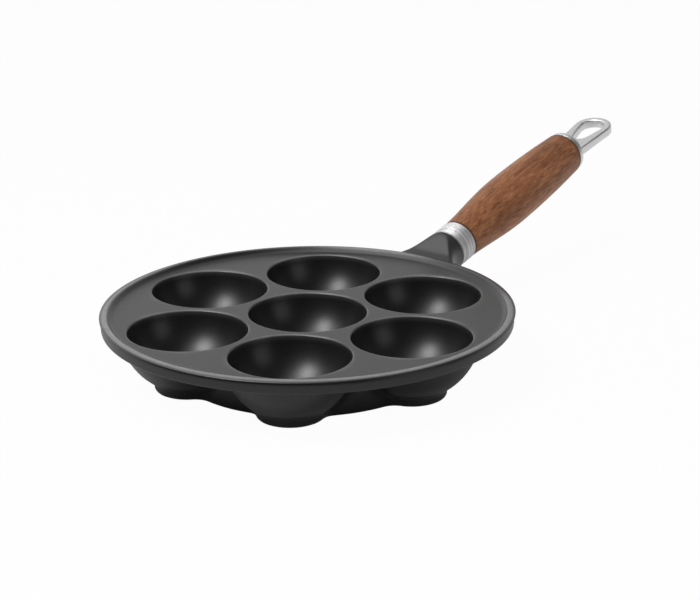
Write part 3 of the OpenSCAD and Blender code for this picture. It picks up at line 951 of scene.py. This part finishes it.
# %% Ferrule
def ferrule_profile():
    """The sleeve with its hollow for the spigot, as one closed profile."""
    edge, fine = 0.35, 24
    first, half_w, deep, mark_deep = 1.7, 0.38, 0.30, 0.02
    across_groove = np.linspace(-1, 1, 9)
    outside = []
    for groove in range(ferrule_grooves):
        centre = first + groove * groove_pitch
        outside.append(np.column_stack([centre + half_w * across_groove,
                                        socket_r - deep * np.cos(np.pi / 2 * across_groove)]))
    marks = np.linspace(centre + 0.9, ferrule_len - 1.2, 4 * fine)
    wave = 1 - np.cos(2 * np.pi * fine * np.linspace(0, 1, len(marks)))
    outside.append(np.column_stack([marks, socket_r - mark_deep * wave]))
    spigot = spigot_r + seat_gap
    hole = rod_d / 2 + rod_gap
    return joined([[0, hole]], [[0, socket_r - edge]],
                  eased_corner((0, socket_r - edge), (0, socket_r), (edge, socket_r)), *outside,
                  eased_corner((ferrule_len - edge, socket_r), (ferrule_len, socket_r),
                               (ferrule_len, socket_r - edge)),
                  [[ferrule_len, spigot], [ferrule_web, spigot], [ferrule_web, hole], [0, hole]])


ferrule = woven("turned_ferrule", [turned(ferrule_profile(), 192)], crease=28)

# %% [markdown]
# ## Handle: grip
# The walnut swells slowly from the ferrule to the middle and falls more slowly to the end, where
# its edge is rounded over. The curve is the CAD source's own: a raised sine up to the belly, then
# a parabola. Against the ferrule the wood stops at a fine shadow line.

# %% Grip
def grip_radius(g):
    """Radius of the wood at a distance g from the ferrule."""
    belly = belly_at * grip_len
    raised = np.sin(np.pi / 2 * np.clip(g / belly, 0, 1)) ** 1.5
    swell = grip_neck_d / 2 + (grip_belly_d - grip_neck_d) / 2 * raised
    beyond = (g - belly) / (grip_len - belly)
    fall = grip_belly_d / 2 - (grip_belly_d - grip_end_d) / 2 * beyond**2
    return np.where(g < belly, swell, fall)


def grip_profile():
    """Spigot, swelling wood, rounded end, and the recess that takes the end piece's boss."""
    chamfer = 0.45
    g = np.linspace(chamfer, grip_len - grip_round, 60)
    wood = np.column_stack([g, grip_radius(g)])
    over = arc((g[-1], grip_radius(g[-1]) - grip_round), grip_round, 90, 0, 8)
    hole, recess = rod_d / 2 + rod_gap, boss_d / 2 + seat_gap
    recess_g = grip_len - boss_len - end_gap
    shape = joined([[-spigot_len, hole], [-spigot_len, spigot_r], [0, spigot_r]],
                   [[0, grip_neck_d / 2 - chamfer]], wood, over,
                   [[grip_len, recess], [recess_g, recess], [recess_g, hole], [-spigot_len, hole]])
    return shape + [grip_u, 0]


grip = woven("walnut_grip", [turned(grip_profile(), 160)], crease=40)

# %% [markdown]
# ## Handle: end piece
# The end piece is cast aluminium: a collar on the wood's end and a flat loop with softly rounded
# edges, to hang the pan by. Its opening is plain: a narrow round, straight sides and a wide round.
# Rays from the middle of the opening meet its outline and the loop's own. How far off, is found by
# halving: a point is inside while it is nearer to the axis than the outline's half width there.

# %% Loop outlines
def loop_half_width(u):
    """Half width of the loop at a distance u: straight tapered sides, then the round eye."""
    eye_r = eye_w / 2
    corner = np.array([collar_seat - eye_u, stem_w / 2])
    turn = np.arctan2(corner[1], corner[0]) - np.arccos(eye_r / np.hypot(*corner))
    meet = eye_r * np.array([np.cos(turn), np.sin(turn)])
    side = corner[1] + (u - eye_u - corner[0]) * (meet[1] - corner[1]) / (meet[0] - corner[0])
    return np.where(u < eye_u + meet[0], side, half_chord(eye_r, u - eye_u))


def slot_half_width(u):
    """Half width of the opening: a narrow round, straight sides, and a wide round."""
    lean = np.arcsin((slot_big_r - slot_w / 2) / (eye_u - small_u))
    near = small_u - slot_w / 2 * np.sin(lean)
    far = eye_u - slot_big_r * np.sin(lean)
    side = np.interp(u, [near, far], [slot_w / 2 * np.cos(lean), slot_big_r * np.cos(lean)])
    small, big = half_chord(slot_w / 2, u - small_u), half_chord(slot_big_r, u - eye_u)
    return np.where(u < near, small, np.where(u > far, big, side))


def reach_to(half_width, start, end, middle, a):
    """Distance from the middle to an outline along bearings a, found by halving."""
    def inside(d):
        u, w = middle + d * np.cos(a), np.abs(d * np.sin(a))
        return (u > start) & (u < end) & (w < half_width(u))

    return halved(np.zeros_like(a), np.full_like(a, 2 * loop_len), inside)


# %% [markdown]
# The loop is a ring-shaped grid: between the two outlines a rounded rectangle is swept round. The
# collar, the boss and the cone that runs into the loop are turned.

# %% End piece
def loop_ring(steps=240, edge=1.3):
    """The flat loop round its opening, with edges rounded to the radius edge."""
    middle = (small_u + eye_u) / 2
    a = np.radians(np.linspace(0, 360, steps + 1))
    inner = reach_to(slot_half_width, small_u - slot_w / 2, eye_u + slot_big_r, middle, a)
    outer = reach_to(loop_half_width, collar_seat, eye_u + eye_w / 2, middle, a)
    corner = arc((edge, loop_t / 2 - edge), edge, 90, 180, 5)
    rows = [(outer - i, h) for i, h in corner] + [(outer - i, -h) for i, h in corner[::-1]]
    rows += [(inner + i, -h) for i, h in corner] + [(inner + i, h) for i, h in corner[::-1]]
    rows.append(rows[0])
    return np.stack([on_handle(middle + d * np.cos(a), d * np.sin(a), h) for d, h in rows])


def collar_profile():
    """Tapped boss, collar with soft edges, and the cone that runs into the flat loop."""
    fine, soft, cone = 0.3, 0.6, 4
    collar_r, hole = collar_d / 2, rod_d / 2 + thread_gap
    start, seat, front = grip_end_u - boss_len, grip_end_u, grip_end_u + collar_t
    deep = start + boss_len + collar_t - end_gap
    return joined([[deep, 0], [deep, hole], [start, hole], [start, boss_d / 2], [seat, boss_d / 2],
                   [seat, collar_r - fine]],
                  eased_corner((seat, collar_r - fine), (seat, collar_r), (seat + fine, collar_r), 3),
                  eased_corner((front - soft, collar_r), (front, collar_r), (front, collar_r - soft)),
                  eased_corner((front, collar_r - soft), (front + soft, loop_t / 2 + 1.5),
                               (front + cone, loop_t / 2 - 0.4), 8),
                  [[front + cone, 0]])


end_piece = woven("end_loop", [loop_ring(), turned(collar_profile(), 144)], crease=38)

# %% [markdown]
# ## Pieces on their bodies
# Everything is rigid and rides on the one body. Each new piece stands for its CAD node, which
# stays for collision only and is hidden, and takes the finish made for it above. The rod keeps its
# CAD solid: it is hidden, and its shape is right.

# %% Ride, replace and dress
for piece, cad_node, slot, material in (
        (casting, "pan_casting", "iron", matt_iron),
        (ferrule, "ferrule", "ferrule_metal", turned_aluminium),
        (grip, "grip", "walnut", oiled_walnut),
        (end_piece, "hanging_loop", "loop_metal", cast_aluminium)):
    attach(piece, "root")
    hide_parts(cad_node)
    piece.data.materials.append(material)

rod_slots = nodes["tie_rod"].data.materials
rod_slots.clear()
rod_slots.append(drawn_steel)

# %% [markdown]
# ## Sizes of the finished look
# The box of the CAD model and the box of what is shown are kept side by side.

# %% Write the sizes and finish
look_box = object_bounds()
for name, corners in (("cad", cad_box), ("look", look_box)):
    print(name, [[round(float(v), 4) for v in corner] for corner in corners])
